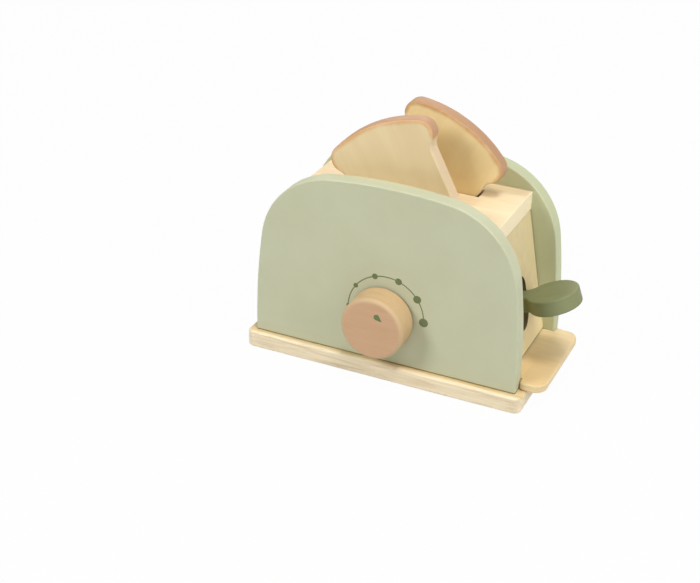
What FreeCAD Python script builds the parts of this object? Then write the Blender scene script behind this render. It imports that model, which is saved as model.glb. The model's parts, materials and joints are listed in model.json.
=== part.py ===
import FreeCAD, Part
import math
import os

# Wooden toy toaster: a casing of boards on a base, a rocking lever, a knob, a crumb tray
# and two wooden bread slices that lean in the slots.
# Millimetres. Origin: centre of the base board's underside. +X to the lever end, +Y to the
# back, +Z up.

V = FreeCAD.Vector
X_AXIS = V(1, 0, 0)
Y_AXIS = V(0, 1, 0)
Z_AXIS = V(0, 0, 1)

# ---- driving dimensions -------------------------------------------------------------------

# arched panels: outline, board and the space between them
PANEL_HALF_LENGTH = 108.5
PANEL_TOP_Z = 158.1
PANEL_THICK = 13.1
PANEL_GAP = 79.3
PANEL_UPRIGHT = 12.0
PANEL_SIDE_R = 540.0
PANEL_SHOULDER_R = 64.0
PANEL_CROWN_R = 380.0
PANEL_EDGE_R = 1.2

# base board, with its overhang past the panels
BASE_THICK = 13.2
BASE_OVERHANG_END = 6.3
BASE_OVERHANG_SIDE = 6.25
BASE_CORNER_R = 6.0

# boards between the panels; the end boards lean out towards their feet
TOP_INSET = 27.2
TOP_THICK = 15.3
TOP_SURFACE_Z = 136.2
END_LEAN = 10.64
END_THICK = 10.0

# bread slots, measured from the slices that they hold
SLOT_END_PLAY = 3.5
SLOT_SIDE_PLAY = 0.85
SLOT_CENTRE_Y = 17.0

# lever slot in the right end board, measured from the lever's pivot
LEVER_SLOT_WIDTH = 23.4
LEVER_SLOT_BELOW = 8.0
LEVER_SLOT_ABOVE = 34.8

# rocking lever; its own lengths run along and square to the leaning paddle
PIVOT_INSET = 23.3
PIVOT_Z = 47.0
LEVER_REST_TILT = 20.0
PADDLE_THICK = 12.6
PADDLE_RISE = 2.5
PADDLE_R = 20.3
PADDLE_REACH = 64.0
NECK_SIDE_GAP = 4.2
NECK_FILLET_R = 8.0
SHOULDER_AT = 11.0
SHELF_END = 21.5
SHELF_THICK = 8.0
HUB_R = 12.0
ROCKER_THICK = 18.0
ELBOW_FROM_TOE = 14.0
ELBOW_DROP = 8.0
TOE_LENGTH = 24.0

# plate on the rocker that the slices stand on when they are down
LIFT_RISE = 15.0
LIFT_THICK = 8.0
LIFT_LENGTH = 32.0
LIFT_SIDE_GAP = 3.35
LIFT_CORNER_R = 3.0

# dowels and sleeves
PIVOT_DOWEL_R = 5.0
STOP_DOWEL_R = 4.0
JOINT_DOWEL_R = 3.0
JOINT_DOWEL_IN_PANEL = 8.0
JOINT_DOWEL_IN_BOARD = 12.0
TOP_DOWEL_FROM_END = 16.8
END_DOWEL_BELOW_TOP = 20.9
END_DOWEL_ABOVE_SCREWS = 13.7
CROSS_DOWEL_DEPTH = 8.0
SLEEVE_WALL = 3.0

# knob
KNOB_X = 0.3
KNOB_Z = 52.1
KNOB_R = 25.2
KNOB_LENGTH = 22.0
KNOB_EDGE_R = 3.0
KNOB_AXLE_R = 6.0
KNOB_AXLE_DEPTH = 14.0
KNOB_WASHER_R = 16.0
KNOB_WASHER_THICK = 0.6
RETAINER_R = 12.0
RETAINER_THICK = 6.0

# crumb tray
TRAY_THICK = 7.0
TRAY_HEAD_INSET = 7.25
TRAY_HEAD_LENGTH = 19.4
TRAY_HEAD_CORNER_R = 9.5
TRAY_HEAD_BACK_R = 3.0
TRAY_BACK_GAP = 8.0

# bread slices: a stem, a notch, an ear and an arched crown
BREAD_HEIGHT = 90.7
BREAD_STEM_HALF = 38.2
BREAD_EAR_OVERHANG = 6.6
BREAD_THICK = 12.0
BREAD_CROWN_R = 100.0
BREAD_EAR_R = 11.0
BREAD_NOTCH_R = 13.0
BREAD_FOOT_R = 3.0
BREAD_EDGE_R = 1.8

# how the slices lean: the angle, the foot's distance from the slot's end wall, and how far
# the lowest corner is under the top board's surface
FRONT_BREAD_LEAN = 27.9
FRONT_BREAD_OFF_WALL = 0.3
FRONT_BREAD_DIP = 42.1
BACK_BREAD_LEAN = 29.6
BACK_BREAD_OFF_WALL = 5.2
BACK_BREAD_DIP = 42.1

# wood screws
SCREW_HEAD_R = 3.6
SCREW_SHANK_R = 1.8
SMALL_SCREW_HEAD_R = 2.8
SMALL_SCREW_SHANK_R = 1.4
SCREW_RIM = 0.4
SCREW_TIP_R = 0.3
SCREW_TIP_LENGTH = 3.6
RECESS_DEPTH = 1.1
RECESS_WIDTH = 0.9
RECESS_REACH = 1.8
BASE_SCREW_LENGTH = 36.0
BASE_SCREW_FROM_END = 20.0
BASE_SCREW_FROM_MIDDLE = 30.0
PADDLE_SCREW_SPREAD = 3.6
PADDLE_SCREW_COVER = 2.0
LIFT_SCREW_LENGTH = 22.0
LIFT_SCREW_SPREAD = 6.0
RETAINER_SCREW_LENGTH = 20.0

# clearances and edge rounds
RUNNING_FIT = 0.08
GLUE_FIT = 0.05
FREE_GAP = 0.3
TRAY_SIDE_GAP = 0.45
TRAY_FLOOR_GAP = 0.2
TRAY_ROOF_GAP = 0.7
STOP_ABOVE_TRAY = 0.8
SCREW_SUNK = 0.3
BOARD_EDGE_R = 1.5
SMALL_EDGE_R = 0.8
SLOT_EDGE_R = 0.6

# ---- worked out from the above ------------------------------------------------------------

PANEL_IN_Y = PANEL_GAP / 2
PANEL_OUT_Y = PANEL_IN_Y + PANEL_THICK
PANEL_MID_Y = PANEL_IN_Y + PANEL_THICK / 2
BASE_HALF_X = PANEL_HALF_LENGTH + BASE_OVERHANG_END
BASE_HALF_Y = PANEL_OUT_Y + BASE_OVERHANG_SIDE
TOP_HALF_LENGTH = PANEL_HALF_LENGTH - TOP_INSET
TOP_UNDER_Z = TOP_SURFACE_Z - TOP_THICK
BREAD_CROWN_HALF = BREAD_STEM_HALF + BREAD_EAR_OVERHANG
SLOT_HALF_LENGTH = BREAD_CROWN_HALF + SLOT_END_PLAY
SLOT_HALF_WIDTH = BREAD_THICK / 2 + SLOT_SIDE_PLAY
PIVOT_X = TOP_HALF_LENGTH - PIVOT_INSET
LEVER_SLOT_LOW_Z = PIVOT_Z - LEVER_SLOT_BELOW
LEVER_SLOT_HIGH_Z = PIVOT_Z + LEVER_SLOT_ABOVE
NECK_HALF = LEVER_SLOT_WIDTH / 2 - NECK_SIDE_GAP
NECK_UNDER = PADDLE_RISE - PADDLE_THICK / 2
NECK_TOP = PADDLE_RISE + PADDLE_THICK / 2
TRAY_LOW_Z = BASE_THICK + TRAY_FLOOR_GAP
TRAY_TOP_Z = TRAY_LOW_Z + TRAY_THICK
RIGHT_BOARD_LOW_Z = TRAY_TOP_Z + TRAY_ROOF_GAP
STOP_Z = TRAY_TOP_Z + STOP_ABOVE_TRAY + STOP_DOWEL_R
TOE_LOW_Z = STOP_Z + STOP_DOWEL_R + FREE_GAP
LIFT_TOP_Z = PIVOT_Z + LIFT_RISE
SEAT_Z = LIFT_TOP_Z - LIFT_THICK
LIFT_HALF_WIDTH = PANEL_IN_Y - FREE_GAP - RETAINER_THICK - LIFT_SIDE_GAP
PADDLE_SCREW_LENGTH = PADDLE_THICK + SHELF_THICK - SCREW_SUNK - PADDLE_SCREW_COVER
BASE_SCREW_TIP_Z = SCREW_SUNK + BASE_SCREW_LENGTH

# how far a cutting shape runs past the face it opens, and how near counts as the same place
CUT_OVER = 1.0
NEAR = 0.01


# ---- helpers ------------------------------------------------------------------------------

def block(x0, x1, y0, y1, z0, z1):
    """Box between two corners."""
    return Part.makeBox(x1 - x0, y1 - y0, z1 - z0, V(x0, y0, z0))


def rod(radius, start, end):
    """Cylinder from one point to another."""
    return Part.makeCylinder(radius, (end - start).Length, start, end - start)


def prism(points, y0, y1):
    """Straight-edged outline of (x, z) points, pushed from y0 to y1."""
    corners = [V(x, y0, z) for x, z in points]
    face = Part.Face(Part.makePolygon(corners + corners[:1]))
    return face.extrude(V(0, y1 - y0, 0))


def rounded(shape, radius, wanted):
    """Round the edges whose centre passes the test."""
    edges = [edge for edge in shape.Edges if wanted(edge, edge.CenterOfMass)]
    return shape.makeFillet(radius, edges)


def along(edge, axis):
    """True for a straight edge that runs along the axis."""
    if not isinstance(edge.Curve, Part.Line):
        return False
    return abs(edge.tangentAt(edge.FirstParameter).dot(axis)) > 1 - NEAR


def circles_meet(c0, r0, c1, r1, side):
    """One of the two points at distance r0 from c0 and r1 from c1, as (x, z)."""
    dx = c1[0] - c0[0]
    dz = c1[1] - c0[1]
    gap = math.hypot(dx, dz)
    run = (gap * gap + r0 * r0 - r1 * r1) / (2 * gap)
    off = math.sqrt(r0 * r0 - run * run) * side
    return (c0[0] + (dx * run - dz * off) / gap, c0[1] + (dz * run + dx * off) / gap)


def on_circle(centre, radius, through):
    """Point of the circle in the direction of another point."""
    dx = through[0] - centre[0]
    dz = through[1] - centre[1]
    size = math.hypot(dx, dz)
    return (centre[0] + dx * radius / size, centre[1] + dz * radius / size)


def arc_edge(centre, radius, start, end, y):
    """Short arc about the centre between two of its points."""
    middle = ((start[0] + end[0]) / 2, (start[1] + end[1]) / 2)
    via = on_circle(centre, radius, middle)
    ends = [V(p[0], y, p[1]) for p in (start, via, end)]
    return Part.Arc(*ends).toShape()


def line_edge(start, end, y):
    """Straight edge between two (x, z) points."""
    return Part.makeLine(V(start[0], y, start[1]), V(end[0], y, end[1]))


def mirrored(edges, y):
    """The edges and their mirror images about x = 0, as one closed face."""
    other = [edge.mirror(V(0, y, 0), X_AXIS) for edge in edges]
    loose = Part.sortEdges(edges + other)[0]
    return Part.Face(Part.Wire(loose))


def turned(profile):
    """Body turned about Z from a closed profile of (radius, height) points."""
    corners = [V(radius, 0, z) for radius, z in profile]
    return Part.Face(Part.makePolygon(corners + corners[:1])).revolve(V(), Z_AXIS, 360)


def placed(body, point, direction):
    """Turn a body made along +Z to the direction, and move it to the point."""
    moved = body.copy()
    moved.Placement = FreeCAD.Placement(point, FreeCAD.Rotation(Z_AXIS, direction))
    return moved


def screw(head, direction, length, head_r=SCREW_HEAD_R, shank_r=SCREW_SHANK_R):
    """Countersunk wood screw: the centre of its head's face, and the way it points."""
    neck = SCREW_RIM + head_r - shank_r
    body = turned([(0, 0), (head_r, 0), (head_r, SCREW_RIM), (shank_r, neck),
                   (shank_r, length - SCREW_TIP_LENGTH), (SCREW_TIP_R, length), (0, length)])
    half = RECESS_WIDTH / 2
    for half_x, half_y in ((RECESS_REACH, half), (half, RECESS_REACH)):
        body = body.cut(block(-half_x, half_x, -half_y, half_y, -CUT_OVER, RECESS_DEPTH))
    return placed(body, head, direction)


def screw_hole(head, direction, length, head_r=SCREW_HEAD_R, shank_r=SCREW_SHANK_R):
    """Hole for the same screw, a glue fit larger all round."""
    rim = SCREW_RIM + GLUE_FIT
    out = -SCREW_SUNK - CUT_OVER
    end = length + FREE_GAP
    body = turned([(0, out), (head_r + GLUE_FIT, out), (head_r + GLUE_FIT, rim),
                   (shank_r + GLUE_FIT, rim + head_r - shank_r), (shank_r + GLUE_FIT, end), (0, end)])
    return placed(body, head, direction)


def export(name, shape):
    """Write one node."""
    shape.exportStep("parts/%s.step" % name)


# ---- places shared by several pieces ------------------------------------------------------

def end_outer_x(z):
    """Outer face of an end board at a height, as a distance from the middle."""
    return TOP_HALF_LENGTH + (TOP_UNDER_Z - z) * math.tan(math.radians(END_LEAN))


def end_inner_x(z):
    """Inner face of an end board at a height, as a distance from the middle."""
    return end_outer_x(z) - END_THICK / math.cos(math.radians(END_LEAN))


def lever_point(run, rise):
    """(x, z) of a point of the lever at rest, from its pivot."""
    tilt = math.radians(LEVER_REST_TILT)
    x = PIVOT_X + run * math.cos(tilt) - rise * math.sin(tilt)
    z = PIVOT_Z + run * math.sin(tilt) + rise * math.cos(tilt)
    return (x, z)


def lever_spot(run, y, rise):
    """The same as a vector."""
    x, z = lever_point(run, rise)
    return V(x, y, z)


def lever_down():
    """Direction square to the paddle, down into the rocker."""
    return lever_spot(0, 0, -1) - lever_spot(0, 0, 0)


def joint_dowel_places():
    """(x, z) of each dowel that joins a board to the panels."""
    outer = TOP_HALF_LENGTH - TOP_DOWEL_FROM_END
    places = [(x, TOP_SURFACE_Z - TOP_THICK / 2) for x in (-outer, 0, outer)]
    low = BASE_SCREW_TIP_Z + END_DOWEL_ABOVE_SCREWS
    high = TOP_UNDER_Z - END_DOWEL_BELOW_TOP
    for z in (low, high):
        middle = (end_outer_x(z) + end_inner_x(z)) / 2
        places += [(middle, z), (-middle, z)]
    return places


def joint_dowels(extra_r, extra_length):
    """All joint dowels, or their holes when they are made larger."""
    near = PANEL_IN_Y - JOINT_DOWEL_IN_BOARD - extra_length
    far = PANEL_IN_Y + JOINT_DOWEL_IN_PANEL + extra_length
    rods = []
    for x, z in joint_dowel_places():
        for side in (-1, 1):
            rods.append(rod(JOINT_DOWEL_R + extra_r, V(x, side * near, z), V(x, side * far, z)))
    return rods


def base_screw_heads():
    """Centre of each base screw's head."""
    heads = []
    for x in (BASE_SCREW_FROM_MIDDLE, PANEL_HALF_LENGTH - BASE_SCREW_FROM_END):
        for side_x in (-1, 1):
            for side_y in (-1, 1):
                heads.append(V(side_x * x, side_y * PANEL_MID_Y, SCREW_SUNK))
    return heads


def base_screw_holes():
    """Holes of the base screws, through the base board and into the panels."""
    return [screw_hole(head, Z_AXIS, BASE_SCREW_LENGTH) for head in base_screw_heads()]


def paddle_screws(make):
    """The paddle's screws or their holes, in the neck over the rocker's shelf."""
    run = (SHOULDER_AT + SHELF_END) / 2
    rise = NECK_TOP - SCREW_SUNK
    heads = [lever_spot(run, side * PADDLE_SCREW_SPREAD, rise) for side in (-1, 1)]
    return [make(head, lever_down(), PADDLE_SCREW_LENGTH, SMALL_SCREW_HEAD_R, SMALL_SCREW_SHANK_R)
            for head in heads]


def lift_screws(make):
    """The lift plate's screws or their holes."""
    heads = [V(side * LIFT_SCREW_SPREAD, 0, LIFT_TOP_Z - SCREW_SUNK) for side in (-1, 1)]
    return [make(head, V(0, 0, -1), LIFT_SCREW_LENGTH) for head in heads]


def cross_dowel(radius, x, z, extra):
    """Dowel between the panels, or its holes when it is made longer."""
    half = PANEL_IN_Y + CROSS_DOWEL_DEPTH + extra
    return rod(radius, V(x, -half, z), V(x, half, z))


# ---- casing -------------------------------------------------------------------------------

def base_board():
    board = block(-BASE_HALF_X, BASE_HALF_X, -BASE_HALF_Y, BASE_HALF_Y, 0, BASE_THICK)
    board = rounded(board, BASE_CORNER_R, lambda edge, c: along(edge, Z_AXIS))
    board = rounded(board, BOARD_EDGE_R, lambda edge, c: not along(edge, Z_AXIS))
    return board.cut(base_screw_holes())


def panel_face(y):
    """Arched outline: upright foot, long side arc, shoulder arc and crown arc."""
    low = BASE_THICK
    foot = BASE_THICK + PANEL_UPRIGHT
    side_c = (PANEL_HALF_LENGTH - PANEL_SIDE_R, foot)
    crown_c = (0, PANEL_TOP_Z - PANEL_CROWN_R)
    shoulder_c = max(circles_meet(side_c, PANEL_SIDE_R - PANEL_SHOULDER_R,
                                  crown_c, PANEL_CROWN_R - PANEL_SHOULDER_R, side)
                     for side in (-1, 1))
    side_end = on_circle(side_c, PANEL_SIDE_R, shoulder_c)
    crown_start = on_circle(crown_c, PANEL_CROWN_R, shoulder_c)
    edges = [line_edge((0, low), (PANEL_HALF_LENGTH, low), y),
             line_edge((PANEL_HALF_LENGTH, low), (PANEL_HALF_LENGTH, foot), y),
             arc_edge(side_c, PANEL_SIDE_R, (PANEL_HALF_LENGTH, foot), side_end, y),
             arc_edge(shoulder_c, PANEL_SHOULDER_R, side_end, crown_start, y),
             arc_edge(crown_c, PANEL_CROWN_R, crown_start, (0, PANEL_TOP_Z), y)]
    return mirrored(edges, y)


def panel(side):
    """Front panel with side -1, back panel with side 1."""
    face = panel_face(side * PANEL_IN_Y)
    board = face.extrude(V(0, side * PANEL_THICK, 0))
    board = rounded(board, PANEL_EDGE_R, lambda edge, c: not along(edge, Y_AXIS)
                    and abs(abs(c.y) - PANEL_MID_Y) > PANEL_THICK / 4)
    holes = joint_dowels(GLUE_FIT, GLUE_FIT) + base_screw_holes()
    holes.append(cross_dowel(PIVOT_DOWEL_R + GLUE_FIT, PIVOT_X, PIVOT_Z, GLUE_FIT))
    holes.append(cross_dowel(STOP_DOWEL_R + GLUE_FIT, 0, STOP_Z, GLUE_FIT))
    return board.cut(holes)


def front_panel():
    hole = rod(KNOB_AXLE_R + RUNNING_FIT, knob_point(-PANEL_OUT_Y - CUT_OVER),
               knob_point(-PANEL_IN_Y + CUT_OVER))
    return panel(-1).cut(hole)


def bread_slot(side):
    """Slot through the top board."""
    y = side * SLOT_CENTRE_Y
    return block(-SLOT_HALF_LENGTH, SLOT_HALF_LENGTH, y - SLOT_HALF_WIDTH, y + SLOT_HALF_WIDTH,
                 TOP_UNDER_Z - CUT_OVER, TOP_SURFACE_Z + CUT_OVER)


def top_board():
    board = block(-TOP_HALF_LENGTH, TOP_HALF_LENGTH, -PANEL_IN_Y, PANEL_IN_Y,
                  TOP_UNDER_Z, TOP_SURFACE_Z)
    board = rounded(board, SMALL_EDGE_R, lambda edge, c: along(edge, Y_AXIS))
    board = board.cut([bread_slot(-1), bread_slot(1)])
    slot_reach = SLOT_CENTRE_Y + SLOT_HALF_WIDTH + NEAR
    board = rounded(board, SLOT_EDGE_R, lambda edge, c: abs(c.z - TOP_SURFACE_Z) < NEAR
                    and abs(c.x) < SLOT_HALF_LENGTH + NEAR and abs(c.y) < slot_reach)
    return board.cut(joint_dowels(GLUE_FIT, GLUE_FIT))


def end_board(side, low_z):
    """Leaning board under the top board; side 1 is the lever end."""
    high = TOP_UNDER_Z
    points = [(side * end_outer_x(low_z), low_z), (side * end_outer_x(high), high),
              (side * end_inner_x(high), high), (side * end_inner_x(low_z), low_z)]
    board = prism(points, -PANEL_IN_Y, PANEL_IN_Y)
    return board.cut(joint_dowels(GLUE_FIT, GLUE_FIT))


def right_end_board():
    board = end_board(1, RIGHT_BOARD_LOW_Z)
    half = LEVER_SLOT_WIDTH / 2
    low = LEVER_SLOT_LOW_Z + half
    high = LEVER_SLOT_HIGH_Z - half
    near = end_inner_x(high) - END_THICK
    far = end_outer_x(low) + END_THICK
    slot = block(near, far, -half, half, low, high)
    for z in (low, high):
        slot = slot.fuse(rod(half, V(near, 0, z), V(far, 0, z)))
    return board.cut(slot.removeSplitter())


def sleeve(side):
    """Spacer on the pivot dowel between the rocker and a panel."""
    near = side * (ROCKER_THICK / 2 + FREE_GAP)
    far = side * (PANEL_IN_Y - GLUE_FIT)
    tube = rod(PIVOT_DOWEL_R + SLEEVE_WALL, V(PIVOT_X, near, PIVOT_Z), V(PIVOT_X, far, PIVOT_Z))
    return tube.cut(cross_dowel(PIVOT_DOWEL_R + GLUE_FIT, PIVOT_X, PIVOT_Z, CUT_OVER))


# ---- lever --------------------------------------------------------------------------------

def paddle_face():
    """Flat outline about the lever's axis: a neck that flares into a disc."""
    flare_y = NECK_HALF + NECK_FILLET_R
    flare_x = PADDLE_REACH - math.sqrt((PADDLE_R + NECK_FILLET_R) ** 2 - flare_y ** 2)
    flare_c = (flare_x, flare_y)
    disc_c = (PADDLE_REACH, 0)
    touch = on_circle(disc_c, PADDLE_R, flare_c)
    neck_end = (flare_x, NECK_HALF)
    half_way = ((touch[0] + neck_end[0]) / 2, (touch[1] + neck_end[1]) / 2)
    via = on_circle(flare_c, NECK_FILLET_R, half_way)
    start = (SHOULDER_AT + GLUE_FIT, NECK_HALF)
    edges = []
    for side in (-1, 1):
        begin, end, middle, outer = [V(p[0], side * p[1], 0) for p in (start, neck_end, via, touch)]
        edges.append(Part.makeLine(begin, end))
        edges.append(Part.Arc(end, middle, outer).toShape())
    tip = V(PADDLE_REACH + PADDLE_R, 0, 0)
    edges.append(Part.Arc(V(touch[0], touch[1], 0), tip, V(touch[0], -touch[1], 0)).toShape())
    edges.append(Part.makeLine(V(start[0], -start[1], 0), V(start[0], start[1], 0)))
    return Part.Face(Part.Wire(Part.sortEdges(edges)[0]))


def paddle():
    """Round paddle outside the casing with a neck that reaches the rocker."""
    body = paddle_face().extrude(V(0, 0, PADDLE_THICK))
    body = rounded(body, BOARD_EDGE_R, lambda edge, c: c.x > SHELF_END and not along(edge, Z_AXIS))
    body.translate(V(0, 0, NECK_UNDER))
    body.rotate(V(), Y_AXIS, -LEVER_REST_TILT)
    body.translate(V(PIVOT_X, 0, PIVOT_Z))
    return body.cut(paddle_screws(screw_hole))


def lever_block(run0, run1, rise0, rise1):
    """Block square to the leaning lever, wider than the rocker."""
    points = [lever_point(run0, rise0), lever_point(run1, rise0),
              lever_point(run1, rise1), lever_point(run0, rise1)]
    return prism(points, -ROCKER_THICK, ROCKER_THICK)


def rocker():
    """Profile board on the pivot: shelf for the paddle, hub, arm and upright toe."""
    half = ROCKER_THICK / 2
    toe = TOE_LENGTH / 2
    points = [lever_point(SHELF_END, NECK_UNDER),
              lever_point(SHELF_END, NECK_UNDER - SHELF_THICK),
              lever_point(0, -HUB_R),
              (toe, TOE_LOW_Z), (-toe, TOE_LOW_Z), (-toe, SEAT_Z), (toe, SEAT_Z),
              (toe + ELBOW_FROM_TOE, SEAT_Z - ELBOW_DROP),
              lever_point(-HUB_R / 2, NECK_TOP),
              lever_point(SHOULDER_AT, NECK_TOP),
              lever_point(SHOULDER_AT, NECK_UNDER)]
    body = prism(points, -half, half)
    hub = rod(HUB_R, V(PIVOT_X, -half, PIVOT_Z), V(PIVOT_X, half, PIVOT_Z))
    over_neck = lever_block(SHOULDER_AT, SHOULDER_AT + HUB_R, NECK_UNDER, NECK_TOP + HUB_R)
    body = body.fuse(hub.cut(over_neck)).removeSplitter()
    bore = rod(PIVOT_DOWEL_R + RUNNING_FIT, V(PIVOT_X, -half - CUT_OVER, PIVOT_Z),
               V(PIVOT_X, half + CUT_OVER, PIVOT_Z))
    return body.cut([bore] + paddle_screws(screw_hole) + lift_screws(screw_hole))


def lift_plate():
    half_x = LIFT_LENGTH / 2
    plate = block(-half_x, half_x, -LIFT_HALF_WIDTH, LIFT_HALF_WIDTH, SEAT_Z, LIFT_TOP_Z)
    plate = rounded(plate, LIFT_CORNER_R, lambda edge, c: along(edge, Z_AXIS))
    plate = rounded(plate, SMALL_EDGE_R, lambda edge, c: c.z > LIFT_TOP_Z - NEAR)
    return plate.cut(lift_screws(screw_hole))


# ---- knob ---------------------------------------------------------------------------------

def knob_point(y):
    """Point of the knob's axis at a depth."""
    return V(KNOB_X, y, KNOB_Z)


KNOB_BACK_Y = -(PANEL_OUT_Y + KNOB_WASHER_THICK + FREE_GAP)
KNOB_FACE_Y = KNOB_BACK_Y - KNOB_LENGTH
AXLE_IN_Y = -(PANEL_IN_Y - FREE_GAP)
AXLE_OUT_Y = KNOB_BACK_Y - KNOB_AXLE_DEPTH
RETAINER_IN_Y = AXLE_IN_Y + RETAINER_THICK


def retainer_screw(make):
    """The retainer's screw or its hole, in the end of the axle."""
    return make(knob_point(RETAINER_IN_Y - SCREW_SUNK), V(0, -1, 0), RETAINER_SCREW_LENGTH)


def knob():
    body = rod(KNOB_R, knob_point(KNOB_BACK_Y), knob_point(KNOB_FACE_Y))
    body = rounded(body, KNOB_EDGE_R, lambda edge, c: abs(c.y - KNOB_FACE_Y) < NEAR)
    body = rounded(body, SMALL_EDGE_R, lambda edge, c: abs(c.y - KNOB_BACK_Y) < NEAR)
    socket = rod(KNOB_AXLE_R + GLUE_FIT, knob_point(KNOB_BACK_Y + CUT_OVER),
                 knob_point(AXLE_OUT_Y - GLUE_FIT))
    return body.cut(socket)


def knob_axle():
    axle = rod(KNOB_AXLE_R, knob_point(AXLE_OUT_Y), knob_point(AXLE_IN_Y))
    return axle.cut(retainer_screw(screw_hole))


def knob_washer():
    disc = rod(KNOB_WASHER_R, knob_point(-PANEL_OUT_Y), knob_point(-PANEL_OUT_Y - KNOB_WASHER_THICK))
    hole = rod(KNOB_AXLE_R + FREE_GAP, knob_point(-PANEL_IN_Y), knob_point(KNOB_FACE_Y))
    return disc.cut(hole)


def knob_retainer():
    disc = rod(RETAINER_R, knob_point(AXLE_IN_Y), knob_point(RETAINER_IN_Y))
    disc = rounded(disc, SMALL_EDGE_R, lambda edge, c: abs(c.y - RETAINER_IN_Y) < NEAR)
    return disc.cut(retainer_screw(screw_hole))


# ---- crumb tray ---------------------------------------------------------------------------

def crumb_tray():
    """Board that slides between the panels, with a wider head that stops against them."""
    half_body = PANEL_IN_Y - TRAY_SIDE_GAP
    half_head = PANEL_OUT_Y - TRAY_HEAD_INSET
    head_x = PANEL_HALF_LENGTH + FREE_GAP
    tip = head_x + TRAY_HEAD_LENGTH
    back = -(end_inner_x(TRAY_TOP_Z) - TRAY_BACK_GAP)
    head = block(head_x, tip, -half_head, half_head, TRAY_LOW_Z, TRAY_TOP_Z)
    head = rounded(head, TRAY_HEAD_CORNER_R, lambda edge, c: along(edge, Z_AXIS) and c.x > tip - NEAR)
    head = rounded(head, TRAY_HEAD_BACK_R, lambda edge, c: along(edge, Z_AXIS) and c.x < head_x + NEAR)
    head = rounded(head, BOARD_EDGE_R, lambda edge, c: not along(edge, Z_AXIS)
                   and c.x > head_x + NEAR)
    board = block(back, head_x + CUT_OVER, -half_body, half_body, TRAY_LOW_Z, TRAY_TOP_Z)
    return board.fuse(head).removeSplitter()


# ---- bread slices -------------------------------------------------------------------------

def bread_blank():
    """Upright slice about x = 0 with its foot at z = 0: stem, notch, ear and crown."""
    y = -BREAD_THICK / 2
    top = BREAD_HEIGHT
    crown_c = (0, top - BREAD_CROWN_R)
    ear_x = BREAD_CROWN_HALF - BREAD_EAR_R
    reach = BREAD_CROWN_R - BREAD_EAR_R
    ear_c = (ear_x, crown_c[1] + math.sqrt(reach * reach - ear_x * ear_x))
    crown_end = on_circle(crown_c, BREAD_CROWN_R, ear_c)
    notch_x = BREAD_STEM_HALF + BREAD_NOTCH_R
    spread = BREAD_EAR_R + BREAD_NOTCH_R
    notch_c = (notch_x, ear_c[1] - math.sqrt(spread * spread - (notch_x - ear_x) ** 2))
    notch_top = on_circle(notch_c, BREAD_NOTCH_R, ear_c)
    notch_low = (BREAD_STEM_HALF, notch_c[1])
    foot_c = (BREAD_STEM_HALF - BREAD_FOOT_R, BREAD_FOOT_R)
    foot_top = (BREAD_STEM_HALF, BREAD_FOOT_R)
    foot_low = (foot_c[0], 0)
    ear_side = V(BREAD_CROWN_HALF, y, ear_c[1])
    ear = Part.Arc(V(crown_end[0], y, crown_end[1]), ear_side, V(notch_top[0], y, notch_top[1]))
    edges = [arc_edge(crown_c, BREAD_CROWN_R, (0, top), crown_end, y), ear.toShape(),
             arc_edge(notch_c, BREAD_NOTCH_R, notch_top, notch_low, y),
             line_edge(notch_low, foot_top, y),
             arc_edge(foot_c, BREAD_FOOT_R, foot_top, foot_low, y),
             line_edge(foot_low, (0, 0), y)]
    slice_ = mirrored(edges, y).extrude(V(0, BREAD_THICK, 0))
    return rounded(slice_, BREAD_EDGE_R, lambda edge, c: abs(abs(c.y) - BREAD_THICK / 2) < NEAR)


def bread_foot(lean, off_wall, dip):
    """(x, z) of a left-leaning slice's foot centre when it is wedged in its slot.

    Its raised right foot corner is off_wall from the slot's right wall, and its lowest corner
    is dip under the top board's surface.
    """
    cos = math.cos(math.radians(lean))
    sin = math.sin(math.radians(lean))
    to_corner = BREAD_STEM_HALF - BREAD_FOOT_R
    x = SLOT_HALF_LENGTH - off_wall - BREAD_FOOT_R - to_corner * cos + BREAD_FOOT_R * sin
    z = TOP_SURFACE_Z - dip + to_corner * sin + BREAD_FOOT_R * (1 - cos)
    return x, z


def bread(side, lean, off_wall, dip):
    """Front slice leans left with side -1; the back one leans right with side 1."""
    x, z = bread_foot(lean, off_wall, dip)
    slice_ = bread_blank()
    slice_.rotate(V(), Y_AXIS, side * lean)
    slice_.translate(V(-side * x, side * SLOT_CENTRE_Y, z))
    return slice_


# ---- build --------------------------------------------------------------------------------

def main():
    os.makedirs("parts", exist_ok=True)
    base_screws = [screw(head, Z_AXIS, BASE_SCREW_LENGTH) for head in base_screw_heads()]
    export("base_board", base_board())
    export("front_panel", front_panel())
    export("back_panel", panel(1))
    export("top_board", top_board())
    export("left_end_board", end_board(-1, BASE_THICK))
    export("right_end_board", right_end_board())
    export("joint_dowels", Part.makeCompound(joint_dowels(0, 0)))
    export("base_screws", Part.makeCompound(base_screws))
    export("pivot_dowel", cross_dowel(PIVOT_DOWEL_R, PIVOT_X, PIVOT_Z, 0))
    export("stop_dowel", cross_dowel(STOP_DOWEL_R, 0, STOP_Z, 0))
    export("front_sleeve", sleeve(-1))
    export("back_sleeve", sleeve(1))
    export("lever_paddle", paddle())
    export("lever_rocker", rocker())
    export("paddle_screws", Part.makeCompound(paddle_screws(screw)))
    export("lift_plate", lift_plate())
    export("lift_screws", Part.makeCompound(lift_screws(screw)))
    export("knob", knob())
    export("knob_axle", knob_axle())
    export("knob_washer", knob_washer())
    export("knob_retainer", knob_retainer())
    export("retainer_screw", retainer_screw(screw))
    export("crumb_tray", crumb_tray())
    export("front_bread", bread(-1, FRONT_BREAD_LEAN, FRONT_BREAD_OFF_WALL, FRONT_BREAD_DIP))
    export("back_bread", bread(1, BACK_BREAD_LEAN, BACK_BREAD_OFF_WALL, BACK_BREAD_DIP))


main()
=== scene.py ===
"""Looks of a wooden toy toaster: its finishes, its printed marks and the studio it stands in."""

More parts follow.
